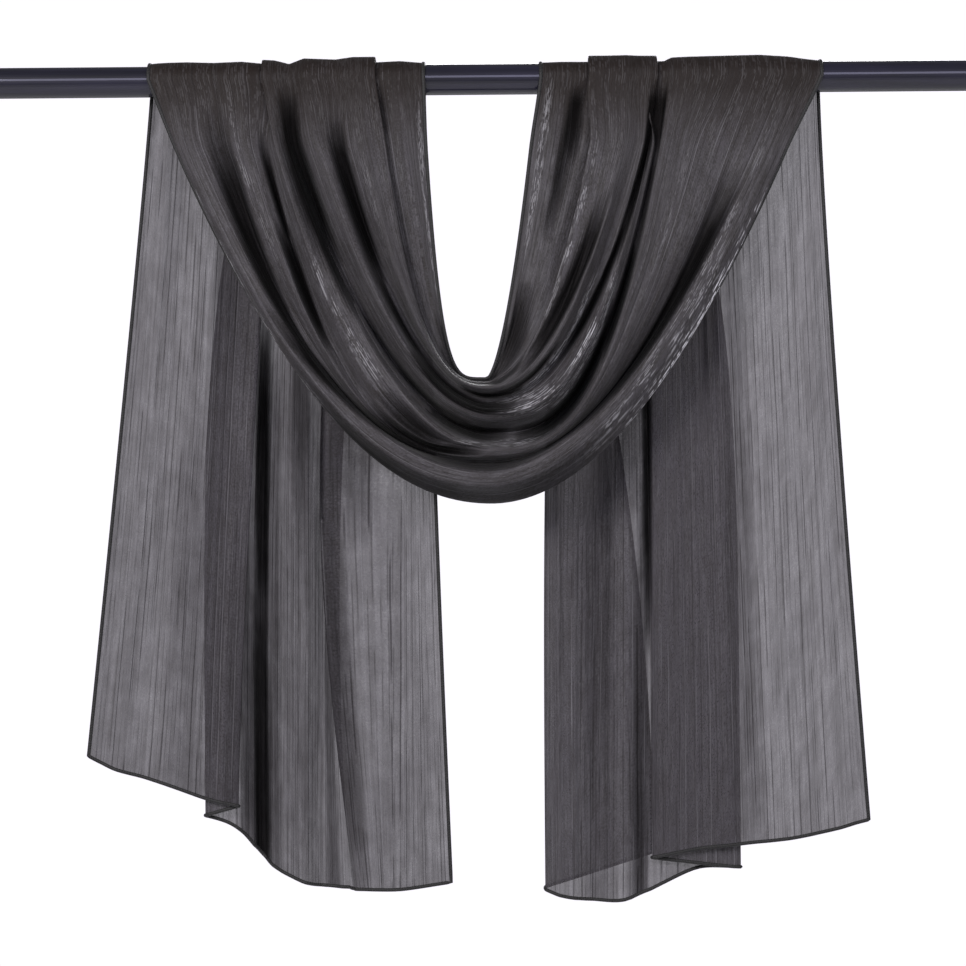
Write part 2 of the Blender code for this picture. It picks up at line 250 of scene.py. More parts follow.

# What shapes the cloth between its folds is drawn in strokes. cut is a stroke's place
# across the flat cloth where it starts and where it ends, and along its place down the piece, from
# 0 to 1; a stroke may start before 0 or end after 1. These are the creases that the crinkled cloth
# keeps. A positive height stands out on its right side.
SWAG_CREASES = (
    # cut from, to   along from, to   width, height
    ( 28,  22, 0.30, 0.62, 3.0,  0.9),
    ( 42,  50, 0.12, 0.40, 3.5, -0.8),
    ( 60,  52, 0.45, 0.80, 3.0,  0.8),
    ( 75,  80, 0.20, 0.52, 4.0, -1.0),
    ( 92,  85, 0.55, 0.88, 3.5,  0.9),
    (115, 120, 0.15, 0.45, 3.0,  0.8),
    (135, 128, 0.50, 0.78, 3.5, -0.9),
    (160, 168, 0.25, 0.60, 4.0,  1.0),
    (190, 185, 0.40, 0.75, 3.0, -0.8),
    (210, 215, 0.10, 0.35, 3.0,  0.8),
    (235, 228, 0.55, 0.90, 3.5,  0.9),
    (260, 268, 0.30, 0.66, 4.0, -1.0),
    (280, 275, 0.12, 0.42, 3.0,  0.8),
    (305, 312, 0.48, 0.82, 3.5,  0.9),
    (330, 325, 0.22, 0.55, 3.0, -0.8),
    (360, 368, 0.52, 0.86, 4.0,  1.0),
    (395, 390, 0.14, 0.48, 3.5, -0.9),
    (430, 435, 0.35, 0.70, 3.0,  0.8),
    (455, 450, 0.55, 0.90, 3.5,  0.9),
    (475, 480, 0.20, 0.50, 3.0, -0.7),
)

# The hollows between the folds, where the gathered cloth sinks back and lies in more layers. Their
# colour is painted near-black and their shine taken away, as painted shade. A negative depth stands
# forward into the light.
SWAG_HOLLOWS = (
    # cut from, to   along from, to   width, depth
    ( 71,  44,  0.08, 0.37,  13.0,  8.5),  # between the outer roll and the first crest, on the left
    ( 40,  70,  0.26, 0.46,  15.0,  9.0),
    (119, 118,  0.10, 0.24,   4.5,  8.0),  # the narrow tuck beside the left middle panel
    (116, 112,  0.19, 0.32,   9.5,  9.0),
    (204, 190,  0.05, 0.26,  32.0,  9.0),  # the deep pocket that opens under the left pleat
    (181, 186,  0.08, 0.31,  12.0,  9.0),
    (190, 220,  0.26, 0.40,   7.0,  3.5),
    (215, 225,  0.36, 0.48,  10.0,  5.5),
    (306, 296,  0.10, 0.31,  13.0,  9.5),  # the pocket inside it
    (294, 292,  0.26, 0.44,   8.0,  6.0),
    (279, 286,  0.38, 0.53,  18.0,  8.5),
    (196, 204,  0.28, 0.45,   8.0, -7.0),  # a shoulder that comes forward into the light
    (424, 424,  0.02, 0.14,   5.0,  4.0),
    (100, 140,  0.38, 0.50,  30.0,  8.0),  # under the middle panel, at the low point
    (158, 160,  0.38, 0.48,  12.0,  6.0),
    (204, 212,  0.42, 0.52,  15.0,  7.0),
    (330, 334,  0.50, 0.61,   9.0,  7.0),  # under the inner folds, at the low point
    (340, 340,  0.54, 0.68,   8.0, -5.0),
    (448, 430,  0.66, 0.52,  22.0,  6.0),
    (392, 390,  0.43, 0.58,  10.0,  4.5),
    (316, 318,  0.46, 0.54,   9.0,  6.0),
    (440, 432,  0.42, 0.57,  10.0,  5.5),
    (456, 458,  0.38, 0.60,  15.0,  4.5),
    (484, 486,  0.40, 0.60,  15.0,  4.8),
    (270, 287,  1.01, 0.73,  10.0, 11.0),  # the long groove on the right, and the one beside it
    (281, 305,  0.82, 0.59,   6.5, 10.0),
    (254, 264,  1.02, 0.82,  15.0,  8.0),
    (199, 198,  1.01, 0.85,  14.0,  9.0),
    (200, 198,  0.92, 0.70,  12.0,  4.5),
    (200, 199,  0.78, 0.64,  13.0,  9.0),
    (220, 202,  0.70, 0.52,  20.0,  9.0),
    (421, 427,  1.02, 0.80,   6.5,  8.5),  # the inner panel's soft fold
    (427, 428,  0.92, 0.72,   6.5,  5.5),
    (358, 375,  0.80, 0.54,  12.0,  9.0),  # behind the inner crest
    ( 59,  56,  0.86, 0.58,  14.0,  9.0),  # between the outer roll and the panel, on the right
    ( 15,  15,  0.30, 0.62,  10.0,  4.5),
    ( 13,  13,  0.34, 0.47,   9.0,  6.0),
    ( 55,  54,  0.42, 0.56,   9.0,  4.5),
)

# Where the silver threads catch the light most, on the crests that face it, their glints are
# painted in as highlights. The last stroke is the little that they gleam everywhere.
SWAG_GLEAMS = (
    # cut from, to   along from, to   width, strength
    ( 10,  13,  0.62, 0.85,   5.5, 1.50),  # the outer roll's edge on the right
    ( 21,  27,  0.58, 0.80,   8.0, 0.35),
    ( 34,  42,  0.62, 0.92,   7.0, 0.20),
    (  8,  12,  0.12, 0.38,   6.0, 0.60),  # its edge on the left
    ( 84,  92,  0.05, 0.26,   6.0, 0.15),
    (246, 262,  0.59, 0.73,  18.0, 0.90),  # the low middle panel
    (306, 236,  0.48, 0.62,  26.0, 0.50),
    (308, 318,  0.52, 0.71,   8.0, 0.70),
    (272, 276,  0.57, 0.68,   8.0, 0.80),
    (151, 167,  0.20, 0.41,   7.0, 0.25),
    (178, 190,  0.46, 0.58,  16.0, 0.60),
    (350, 340,  0.10, 0.30,   7.0, 0.20),
    (388, 386,  0.60, 0.88,   6.0, 0.30),  # the inner crest
    (120, 112,  0.64, 0.90,   5.0, 0.15),
    (484, 480,  0.06, 0.40,   8.0, 0.50),
    (466, 472,  0.66, 0.96,  12.0, 0.50),
    (250, 250, -0.50, 1.50, 400.0, 0.04),
)


def fade(t):
    """Falls softly from 1 to 0 as t goes from 0 to 1, and stays there."""
    t = np.clip(t, 0, 1)
    return 1 - t * t * (3 - 2 * t)


def radius(layer):
    """The radius, round the rail's axis, of the middle of a layer."""
    return RAIL_RADIUS + CLEARANCE + WALL / 2 + LAYER_PITCH * layer


def through(knots, values, t):
    """A smooth curve through the values at the knots, level at both ends."""
    slopes = np.zeros(len(knots))
    slopes[1:-1] = [(values[i + 1] - values[i - 1]) / (knots[i + 1] - knots[i - 1])
                    for i in range(1, len(knots) - 1)]
    i = np.clip(np.searchsorted(knots, t, side="right") - 1, 0, len(knots) - 2)
    knots, values = np.asarray(knots), np.asarray(values, float)
    width = knots[i + 1] - knots[i]
    u = (t - knots[i]) / width
    return (
        (1 + 2 * u) * (1 - u) ** 2 * values[i] + u * (1 - u) ** 2 * width * slopes[i]
        + u * u * (3 - 2 * u) * values[i + 1] + u * u * (u - 1) * width * slopes[i + 1]
    )


def wrap(x, layer, side, angles):
    """Points of a fold on the rail, at the angles from its top. side is -1 for the front and 1 for
    the back."""
    r = radius(layer)
    return np.stack([np.full(len(angles), float(x)), side * r * np.sin(angles),
                     r * np.cos(angles)], axis=1)


def swag_line(rail_row, swag_row, leaves, angles, shares):
    """One fold of the swag, from the rail's top on the left round to its top on the right."""
    _, _, left_x, left_in, left_out, right_x, right_in, right_out = rail_row
    _, x_left, square_left, low_x, low_z, x_right, square_right, y_left, y_low, y_right = swag_row
    left_layer, right_layer = (left_out, right_out) if leaves else (left_in, right_in)
    u = np.linspace(-1, 1, LINE_STEPS + 1)
    left = u < 0
    x = low_x + np.abs(u) * (np.where(left, x_left, x_right) - low_x)
    z = low_z * (1 - np.abs(u) ** np.where(left, square_left, square_right))
    x += np.where(left, left_x - x_left, right_x - x_right) * fade(-z / TUCK_DROP)
    way = np.concatenate([[0], np.cumsum(np.hypot(np.diff(x), np.diff(z)))])
    way /= way[-1]
    # A fold keeps its two layers apart by as much as they are on the rail.
    half = LAYER_PITCH / 2 * (1 if leaves else -1)
    left_apart, right_apart = half * (left_out - left_in), half * (right_out - right_in)
    y = through((0, 0.25, 0.5, 0.75, 1),
                (-radius(left_layer), y_left - left_apart, y_low - (left_apart + right_apart) / 2,
                 y_right - right_apart, -radius(right_layer)), shares)
    hang = np.stack([np.interp(shares, way, x), y, np.interp(shares, way, z)], axis=1)
    return np.concatenate([wrap(left_x, left_layer, -1, angles), hang,
                           wrap(right_x, right_layer, -1, angles[::-1])])


def fold_points(rows, line):
    """The fold lines that a section runs through, in order: two for each fold that turns back."""
    lines = []
    for row in rows:
        for leaves in ((False, True) if row[0][0] in TURNS else (False,)):
            lines.append(line(row, leaves))
    return np.stack(lines, axis=1)


def cut_places():
    """Each column's place across the flat cloth, in millimetres."""
    places = []
    for fold, cut, *_ in ON_RAIL:
        places += [cut - TURN_CUT / 2, cut + TURN_CUT / 2] if fold in TURNS else [cut]
    return np.interp(np.arange((len(places) - 1) * COLUMNS_PER_STRIP + 1) / COLUMNS_PER_STRIP,
                     np.arange(len(places)), places)


def rounded(points, softness):
    """The section through the fold points, with its turns rounded, at even places on each strip
    between two folds."""
    at = np.concatenate([[0], np.cumsum(np.linalg.norm(np.diff(points, axis=0), axis=1))])
    total = at[-1]
    steps = TURN_SPACING * softness * np.arange(len(at))
    spread = np.maximum.accumulate(at - steps) + steps
    spread *= total / spread[-1]
    wanted = np.interp(np.arange((len(at) - 1) * COLUMNS_PER_STRIP + 1) / COLUMNS_PER_STRIP,
                       np.arange(len(at)), spread)
    reach, step = 3 * softness, softness / 4
    fine = np.arange(-reach, total + reach + step, step)
    inside = np.stack([np.interp(np.clip(fine, 0, total), at, points[:, i]) for i in range(3)], 1)
    before = np.stack([np.interp(-fine, at, points[:, i]) for i in range(3)], 1)
    after = np.stack([np.interp(2 * total - fine, at, points[:, i]) for i in range(3)], 1)
    fine_points = np.where((fine < 0)[:, None], 2 * points[0] - before,
                           np.where((fine > total)[:, None], 2 * points[-1] - after, inside))
    weight = np.exp(-0.5 * ((fine[None, :] - wanted[:, None]) / softness) ** 2)
    return weight @ fine_points / weight.sum(axis=1, keepdims=True)


def strokes(table, rows):
    """How strong a table's strokes are at each of a piece's points. A stroke has a flat top across
    its width and swells quickly from its ends, and the strongest stroke at a point counts."""
    cut = cut_places()[None, :]
    along = np.linspace(0, 1, rows)[:, None]
    strength = np.zeros((rows, cut.shape[1]))
    for cut_from, cut_to, along_from, along_to, width, amount in table:
        way = np.clip((along - along_from) / (along_to - along_from), 0, 1)
        middle = cut_from + (cut_to - cut_from) * way
        swell = np.sin(np.pi * way) ** STROKE_SWELL
        stroke = amount * swell * np.exp(-((cut - middle) / width) ** STROKE_FLATNESS)
        strength = np.where(np.abs(stroke) > np.abs(strength), stroke, strength)
    return strength


def pressed(grid, creases, hollows, loose):
    """The piece's points with its creases and hollows pressed in, by how loose each section hangs,
    0 to 1. A hollow sinks back, away from the viewer's side."""
    rows = len(grid)
    normal = np.cross(np.gradient(grid, axis=0), np.gradient(grid, axis=1))
    normal /= np.maximum(np.linalg.norm(normal, axis=2, keepdims=True), 1e-9)
    grid = grid + normal * (strokes(creases, rows) * loose[:, None])[:, :, None]
    grid[:, :, 1] += strokes(hollows, rows) * loose[:, None]
    return grid


def add_sheet(name, grid, thread_start, layers, gather, hollows, gleams):
    """The cloth through the grid's points, and each thread's length. Its UV map "threads" is metres
    across the cut width, and metres along each thread from thread_start, its value in the first
    section. Its attributes say how many layers of organza the cloth has at each point, how deep in
    a hollow that is, which the material paints as shade, how tightly the cloth is gathered, from
    the rail down to gather below it, and how much silver gleams there, which it paints as
    highlight."""
    rows, columns = grid.shape[:2]
    cut = cut_places()
    steps = np.linalg.norm(np.diff(grid, axis=0), axis=2) / 1000
    length = np.concatenate([np.zeros((1, columns)), np.cumsum(steps, axis=0)])
    values = {"layers": np.full((rows, columns), layers),
              "hollow": (np.clip(strokes(hollows, rows) / DEEPEST, 0, 1)
                         * (1 - fade(-grid[:, :, 2] / HOLLOW_START))),
              "gathered": fade(-grid[:, :, 2] / gather),
              "gleam": strokes(gleams, rows)}
    bm = bmesh.new()
    bmesh.ops.create_grid(bm, x_segments=columns - 1, y_segments=rows - 1, size=1)
    threads = bm.loops.layers.uv.new("threads")
    attributes = [(bm.verts.layers.float.new(key), value) for key, value in values.items()]
    for vertex in bm.verts:
        column = round((vertex.co.x + 1) / 2 * (columns - 1))
        row = round((vertex.co.y + 1) / 2 * (rows - 1))
        for loop in vertex.link_loops:
            loop[threads].uv = (cut[column] / 1000, thread_start[column] + length[row, column])
        for layer, value in attributes:
            vertex[layer] = value[row, column]
        vertex.co = grid[row, column] / 1000
    for face in bm.faces:
        face.smooth = True
    mesh = bpy.data.meshes.new(name)
    bm.to_mesh(mesh)
    bm.free()
    sheet = bpy.data.objects.new(name, mesh)
    bpy.context.scene.collection.objects.link(sheet)
    return sheet, length[-1]


angles = np.linspace(0, np.pi / 2, WRAP_STEPS, endpoint=False)
shares = np.linspace(0, 1, SWAG_STEPS + 1)
lines = fold_points(list(zip(ON_RAIL, IN_SWAG)),
                    lambda row, leaves: swag_line(*row, leaves, angles, shares))
hanging = RAIL_ROUNDING + (SWAG_ROUNDING - RAIL_ROUNDING) * (
    fade(1 - shares / SOFTENING) * fade(1 - (1 - shares) / SOFTENING))
on_rail = [RAIL_ROUNDING] * len(angles)
swag_grid = np.stack([rounded(section, soft)
                      for section, soft in zip(lines, [*on_rail, *hanging, *on_rail])])
loose = np.concatenate([np.zeros(len(angles)),
                        1 - fade(np.minimum(shares, 1 - shares) / SWAG_FREED),
                        np.zeros(len(angles))])
swag_grid = pressed(swag_grid, SWAG_CREASES, SWAG_HOLLOWS, loose)
swag, swag_length = add_sheet("swag_cloth", swag_grid, np.zeros(swag_grid.shape[1]),
                              SWAG_LAYERS, SWAG_GATHER, SWAG_HOLLOWS, SWAG_GLEAMS)

# Crinkled organza: a sheer plain weave of fine polyester, set in lengthwise wrinkles 1 to 3 mm
# wide, with a silver metal thread every few millimetres that shows as short glints, which are
# painted into its colour as highlights. It lets about a seventh of the light through, so each layer
# behind another makes it darker. Its colour also has painted shade in its wrinkles, hollows and
# gathers, and painted light where a single layer hangs.
organza = bpy.data.materials.new("crinkled_organza")
organza.use_nodes = True
tree = organza.node_tree
cloth = tree.nodes["Principled BSDF"]
threads = add_node(tree, "ShaderNodeUVMap", {"uv_map": "threads"})

ADD, SUBTRACT, MULTIPLY, DIVIDE, MULTIPLY_ADD, MAXIMUM = (
    {"operation": name}
    for name in ("ADD", "SUBTRACT", "MULTIPLY", "DIVIDE", "MULTIPLY_ADD", "MAXIMUM"))
SMOOTH = {"interpolation_type": "SMOOTHSTEP"}
COLOURS = {"data_type": "RGBA"}
WANDER = 0.0018  # how far a thread strays sideways, in metres


def streaks(scale, detail=2.0, distortion=0.0):
    """Noise in the cloth's own lengths: scale is how many patches there are to a metre, across and
    along."""
    stretched = add_node(tree, "ShaderNodeMapping", Vector=threads, Scale=(*scale, 1.0))
    return add_node(tree, "ShaderNodeTexNoise", {"noise_dimensions": "2D"}, Vector=stretched,
                    Scale=1.0, Detail=detail, Distortion=distortion).outputs["Fac"]


def thread_lines(pitch, width, length, share, seed):
    """Thin lines along the threads, one to each pitch at an uneven place, broken up lengthwise: a
    line runs over about the share of its way, in stretches of about the length. width is how far
    from its middle a line has faded out. All in metres."""
    uneven = add_node(tree, "ShaderNodeMath", SUBTRACT, i0=streaks((45, 7), detail=1.0), i1=0.5)
    place = add_node(tree, "ShaderNodeSeparateXYZ", Vector=threads)
    moved = add_node(tree, "ShaderNodeMath", MULTIPLY_ADD, i0=uneven, i1=WANDER,
                     i2=place.outputs["X"])
    step = add_node(tree, "ShaderNodeMath", DIVIDE, i0=moved, i1=pitch)
    cell = add_node(tree, "ShaderNodeMath", {"operation": "FLOOR"}, i0=step)
    number = add_node(tree, "ShaderNodeMath", ADD, i0=cell, i1=seed)
    # Each line lies at its own place in the middle 0.7 of its pitch.
    own = add_node(tree, "ShaderNodeTexWhiteNoise", {"noise_dimensions": "1D"}, W=number)
    middle = add_node(tree, "ShaderNodeMath", MULTIPLY_ADD, i0=own.outputs["Value"], i1=0.7,
                      i2=0.15)
    across = add_node(tree, "ShaderNodeMath", SUBTRACT, i0=step, i1=cell)
    off = add_node(tree, "ShaderNodeMath", SUBTRACT, i0=across, i1=middle)
    away = add_node(tree, "ShaderNodeMath", {"operation": "ABSOLUTE"}, i0=off)
    distance = add_node(tree, "ShaderNodeMath", MULTIPLY, i0=away, i1=pitch)
    body = add_node(tree, "ShaderNodeMapRange", SMOOTH, Value=distance, From_Min=width * 0.35,
                    From_Max=width, To_Min=1.0, To_Max=0.0)
    # The number is spread out, so that two lines side by side are broken at different places.
    beat = add_node(tree, "ShaderNodeCombineXYZ",
                    X=add_node(tree, "ShaderNodeMath", MULTIPLY, i0=number, i1=7.31),
                    Y=add_node(tree, "ShaderNodeMath", DIVIDE, i0=place.outputs["Y"], i1=length))
    runs = add_node(tree, "ShaderNodeTexNoise", {"noise_dimensions": "2D"}, Vector=beat,
                    Scale=1.0, Detail=1.0)
    broken = add_node(tree, "ShaderNodeMapRange", SMOOTH, Value=runs.outputs["Fac"],
                      From_Min=0.58 - 0.25 * share, From_Max=0.72 - 0.25 * share)
    return add_node(tree, "ShaderNodeMath", MULTIPLY, i0=body, i1=broken)


layers, hollow, gathered, gleam = (
    add_node(tree, "ShaderNodeAttribute", {"attribute_name": name}).outputs["Fac"]
    for name in ("layers", "hollow", "gathered", "gleam"))
# A weave this fine has 3 or 4 threads to a millimetre. It is drawn about five times as coarse, so
# that it shows.
wrinkles = streaks((300, 7), detail=3.0, distortion=0.1)
clouds = streaks((12, 7))
mottle = streaks((85, 55))
weave = streaks((760, 560), detail=1.0)
dark_lines = thread_lines(0.0078, 0.00062, 0.090, 0.65, 3.0)
fine_lines = thread_lines(0.0034, 0.00048, 0.060, 0.60, 11.0)
silver_lines = thread_lines(0.0115, 0.00042, 0.110, 0.62, 29.0)

# The glints are painted highlights, drawn about 1 mm wide, several times as wide as the real
# threads, so that they show. They come in patches, long ones and short ones, and only where the
# cloth gleams and isn't in a hollow.
long_patches = add_node(tree, "ShaderNodeMapRange", SMOOTH, Value=streaks((75, 30)),
                        From_Min=0.42, From_Max=0.60)
short_patches = add_node(tree, "ShaderNodeMapRange", SMOOTH, Value=streaks((120, 24)),
                         From_Min=0.44, From_Max=0.60)
long_dashes = add_node(tree, "ShaderNodeMath", MULTIPLY, i1=long_patches,
                       i0=thread_lines(0.0030, 0.00082, 0.0095, 0.62, 47.0))
short_dashes = add_node(tree, "ShaderNodeMath", MULTIPLY, i1=short_patches,
                        i0=thread_lines(0.0021, 0.00064, 0.0060, 0.60, 83.0))
dashes = add_node(tree, "ShaderNodeMath", MAXIMUM, i0=long_dashes, i1=short_dashes)
open_cloth = add_node(tree, "ShaderNodeMath", SUBTRACT, i0=1.0, i1=hollow)
gleams = add_node(tree, "ShaderNodeMath", MULTIPLY, i0=gleam, i1=open_cloth)
painted_glints = add_node(tree, "ShaderNodeMath", MULTIPLY, i0=dashes, i1=gleams)

# A layer of the cloth lets 14 in 100 through, and what is gathered, wrinkled or folded lets less.
# Each pattern makes the cloth closer by its weight, above the value where it changes nothing.
density = add_node(tree, "ShaderNodeMapRange", SMOOTH, Value=wrinkles, From_Min=0.25,
                   From_Max=0.75, To_Min=1.08, To_Max=0.91)
for pattern, neutral, weight in (
    (dark_lines, 0.0, 0.58),
    (fine_lines, 0.0, 0.22),
    (silver_lines, 0.0, 0.20),
    (clouds, 0.5, -0.45),
    (mottle, 0.5, -0.28),
    (weave, 0.5, 0.42),
):
    above = add_node(tree, "ShaderNodeMath", SUBTRACT, i0=pattern, i1=neutral)
    density = add_node(tree, "ShaderNodeMath", MULTIPLY_ADD, i0=above, i1=weight, i2=density)
deep = add_node(tree, "ShaderNodeMath", MULTIPLY_ADD, i0=hollow, i1=2.0, i2=layers)
closeness = add_node(tree, "ShaderNodeMath", MULTIPLY, i0=density, i1=deep)
passed = add_node(tree, "ShaderNodeMath", {"operation": "POWER"}, i0=0.14, i1=closeness)
stopped = add_node(tree, "ShaderNodeMath", SUBTRACT, i0=1.0, i1=passed)
tree.links.new(stopped.outputs[0], cloth.inputs["Alpha"])

grain = add_node(tree, "ShaderNodeMath", MULTIPLY, i0=wrinkles, i1=0.30)
for pattern, weight in ((weave, 0.45), (mottle, 0.25)):
    grain = add_node(tree, "ShaderNodeMath", MULTIPLY_ADD, i0=pattern, i1=weight, i2=grain)
tone = add_node(tree, "ShaderNodeValToRGB", Fac=grain)
tone.color_ramp.elements[0].position = 0.32
tone.color_ramp.elements[0].color = (*linear("312e2d"), 1)
tone.color_ramp.elements[1].position = 0.68
tone.color_ramp.elements[1].color = (*linear("4e4b50"), 1)

# One layer by itself is lit from both sides, so it is painted lighter, as painted light, and where
# the silver gleams a painted haze of light brightens the cloth around it. The gathered cloth on the
# rail is painted darker, partly for its closer cloth and partly as painted shade between the
# gathers, and warmer, and shows less of its silver. The mask of a single layer is 0.8 for a tail,
# and below 0 for the swag, which counts as 0.
painted_backlight = add_node(tree, "ShaderNodeMath", SUBTRACT, i0=1.8, i1=layers)
crease_lines_and_shade = add_node(tree, "ShaderNodeMath", MAXIMUM, i0=dark_lines, i1=fine_lines)
shown = add_node(tree, "ShaderNodeMath", MULTIPLY_ADD, i0=gathered, i1=-0.52, i2=0.6)
colour = tone.outputs["Color"]
for pattern, share, code in (
    (painted_backlight, 0.20, "605c66"),
    (gleam, 0.07, "85838a"),
    (gathered, 0.90, "201916"),
    # The wrinkle lines are painted dark, partly for their denser cloth, partly as painted shade in
    # the creases.
    (crease_lines_and_shade, 0.45, "201d1e"),
    (silver_lines, shown, "77757a"),
    # A hollow is painted near-black, as painted shade deep in the fold.
    (hollow, 0.90, "070606"),
    # The glints are painted highlights.
    (painted_glints, 1.0, "edebf2"),
):
    amount = add_node(tree, "ShaderNodeMath", MULTIPLY, i0=pattern, i1=share)
    colour = add_node(tree, "ShaderNodeMix", COLOURS, i0=amount, i6=colour,
                      i7=(*linear(code), 1)).outputs[2]
tree.links.new(colour, cloth.inputs["Base Color"])

relief = wrinkles
for pattern, weight in ((dark_lines, -0.5), (silver_lines, 0.3), (weave, 0.5)):
    relief = add_node(tree, "ShaderNodeMath", MULTIPLY_ADD, i0=pattern, i1=weight, i2=relief)
bump = add_node(tree, "ShaderNodeBump", Height=relief, Strength=0.7, Distance=0.0006)
tree.links.new(bump.outputs["Normal"], cloth.inputs["Normal"])

# The threads have a metal's shine. A hollow is made a near-black metal, so that nothing shines in
# it: painted shade.
thread_shine = add_node(tree, "ShaderNodeMath", MULTIPLY, i0=painted_glints, i1=0.2)
hollow_shade_metal = add_node(tree, "ShaderNodeMath", MULTIPLY, i0=hollow, i1=0.85)
shine = add_node(tree, "ShaderNodeMath", MAXIMUM, i0=thread_shine, i1=hollow_shade_metal)
tree.links.new(shine.outputs[0], cloth.inputs["Metallic"])
cloth.inputs["Roughness"].default_value = 0.55
cloth.inputs["Sheen Weight"].default_value = 0.05
cloth.inputs["Sheen Roughness"].default_value = 0.4
cloth.inputs["Specular IOR Level"].default_value = 0.15

swag.data.materials.append(organza)
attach(swag, "root")
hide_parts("swag")


# ---------------------------------------------------------------- Tails
# The scarf's two ends, over the rail's back half and down behind. They are the same length of cloth
# as the swag and meet it along the rail's top. They hang free, a little skewed, with their outer
# halves folded over in front of the rest.

TAIL_ROUNDING = 2.2
DEPTH_PACE = 10.0  # how soon below the rail a tail reaches its depth
TAIL_STEPS = 110
SHARE_SPREAD = 1.15  # a tail's sections lie closer together near the rail
TAIL_FREED = 0.2  # the creases are full this share of a tail's length away from the rail
HEM_EVENING = 9  # how far to each side the hem's curve is evened out
TAIL_GATHER = 25.0  # the cloth is gathered on the rail, and has spread this far below it
TAIL_LAYERS = 1.0

# The tails' folds at the hem. pace says where the fold moves sideways on its way down: 1 is evenly,
# over 1 near the rail and under 1 near the hem. bow is how far it strays sideways halfway. Each y
# is the depth where the cloth comes to the fold and where it leaves it.
LEFT_TAIL = (
    # fold             x,    z,  pace, bow, y in, out
    ("outer_hem",     -328, -554, 0.95,   0,  18, 18),
    ("roll_under",    -317, -561, 0.95,   0,  20, 20),
    ("roll_front",    -305, -566, 0.90,   0,  16, 16),
    ("roll_lip",      -285, -571, 0.90,   0,  20, 20),
    ("outer_valley",  -260, -579, 1.00,   0,  16, 16),
    ("outer_crest",   -227, -592, 1.20,   0,  18, 18),
    ("outer_tuck",    -204, -596, 1.30,   0,  15, 20),
    ("outer_turn",    -233, -605, 4.00,   0,  25, 30),
    ("middle_lip",    -206, -613, 3.00,   0,  33, 33),
    ("middle_slope",  -194, -629, 3.00,   0,  38, 38),
    ("middle_tuck",   -186, -646, 3.00,   0,  42, 42),
    ("narrow_pleat",  -149, -662, 1.00,   0,  22, 22),
    ("inner_valley",  -136, -665, 2.00,   0,  34, 34),
    ("inner_crest",   -126, -665, 2.00,  -4,  31, 31),
    ("soft_valley",   -120, -666, 2.00,  -8,  30, 30),
    ("inner_turn",    -113, -666, 1.50, -14,  31, 27),
    ("inner_tuck",    -109, -666, 2.00, -27,  22, 18),
    ("inner_panel",    -72, -667, 1.00,   0,  17, 17),
    ("inner_hem",      -29, -661, 0.70,   0,  21, 21),
)
RIGHT_TAIL = (
    # fold             x,    z,  pace, bow, y in, out
    ("outer_hem",      317, -612, 0.85,   0,  20, 20),
    ("roll_under",     307, -615, 0.85,   0,  22, 22),
    ("roll_front",     294, -618, 0.85,   0,  18, 18),
    ("roll_lip",       276, -623, 0.90,   0,  21, 21),
    ("outer_valley",   251, -627, 1.00,   0,  17, 17),
    ("outer_crest",    222, -630, 1.20,   0,  19, 19),
    ("outer_tuck",     200, -632, 1.50,   0,  17, 17),
    ("outer_turn",     178, -634, 2.00,   0,  18, 18),
    ("middle_lip",     160, -637, 2.50,   0,  16, 16),
    ("middle_slope",   148, -639, 3.00,   0,  15, 15),
    ("middle_tuck",    137, -642, 4.00,   0,  16, 21),
    ("narrow_pleat",   212, -652, 5.00,   0,  27, 32),
    ("inner_valley",   177, -650, 4.00,   0,  33, 33),
    ("inner_crest",    115, -679, 1.00,   0,  24, 24),
    ("soft_valley",     91, -679, 1.00,   0,  35, 35),
    ("inner_turn",      76, -677, 2.00,   0,  32, 29),
    ("inner_tuck",      62, -675, 4.00,   0,  26, 24),
    ("inner_panel",     49, -668, 3.00,   0,  30, 37),
    ("inner_hem",      139, -641, 2.00,   0,  46, 46),
)
LEFT_CREASES = (
    # cut from, to   along from, to   width, height
    ( 25,  30, 0.15, 0.60, 4.0,  1.0),
    ( 50,  45, 0.40, 0.95, 3.5, -1.0),
    ( 75,  85, 0.10, 0.70, 4.0,  1.1),
    (105, 100, 0.45, 1.00, 4.0, -1.0),
    (135, 140, 0.15, 0.65, 3.5,  0.9),
    (225, 230, 0.30, 0.85, 4.0, -1.0),
    (275, 270, 0.20, 0.70, 4.0,  1.0),
    (400, 410, 0.15, 0.80, 3.5, -0.9),
    (435, 430, 0.35, 1.00, 4.0,  1.0),
    (460, 470, 0.10, 0.75, 3.5, -0.9),
    (485, 480, 0.40, 1.00, 3.5,  0.9),
)
RIGHT_CREASES = (
    # cut from, to   along from, to   width, height
    ( 20,  25, 0.20, 0.70, 4.0, -1.0),
    ( 45,  40, 0.35, 1.00, 4.0,  1.1),
    ( 70,  75, 0.10, 0.55, 3.5, -0.9),
    ( 95,  90, 0.45, 0.95, 4.0,  1.0),
    (125, 135, 0.15, 0.70, 4.0, -1.0),
    (170, 165, 0.35, 0.90, 3.5,  0.9),
    (250, 260, 0.20, 0.80, 4.0,  1.0),
    (310, 300, 0.40, 1.00, 4.0, -1.0),
    (360, 370, 0.15, 0.75, 3.5,  0.9),
    (410, 400, 0.40, 0.95, 4.0, -1.0),
    (460, 465, 0.20, 0.85, 3.5,  0.9),
)
